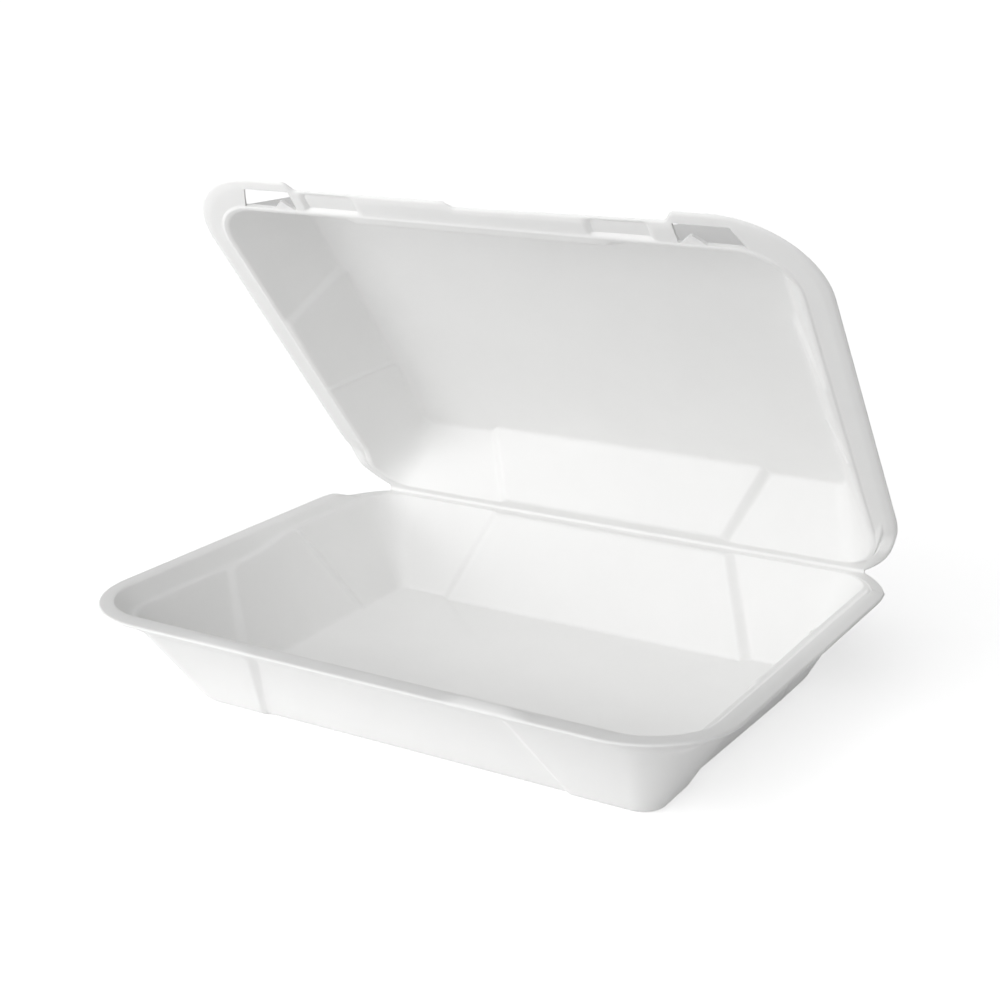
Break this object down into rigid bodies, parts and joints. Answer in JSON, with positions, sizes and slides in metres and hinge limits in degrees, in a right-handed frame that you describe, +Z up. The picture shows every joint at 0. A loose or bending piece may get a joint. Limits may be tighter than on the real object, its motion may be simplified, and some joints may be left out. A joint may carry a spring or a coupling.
{
  "type": "foam clamshell container",
  "caption": "Rectangular foam takeaway clamshell, open on its rear hinge, with sloping pleated walls, a rounded lip, catch beads and slotted lid corners.",
  "frame": {"origin": "middle of the underside of the tray's foot", "axes": "+X along the hinge, to the right of someone facing the opening from the front; -Y towards the front edge, +Y towards the hinge; +Z up"},
  "size_m": [0.238, 0.1931, 0.1779],
  "materials": {
    "foam": "matte"
  },
  "bodies": {
    "tray_body": {"base_tray": "foam"},
    "lid_body": {"lid": "foam"}
  },
  "joints": [
    {"name": "lid_hinge", "type": "hinge", "parent": "tray_body", "child": "lid_body", "pos_m": [0, 0.08025, 0.0373], "axis": [-1, 0, 0], "range_deg": [-50.1, 129.9]}
  ]
}
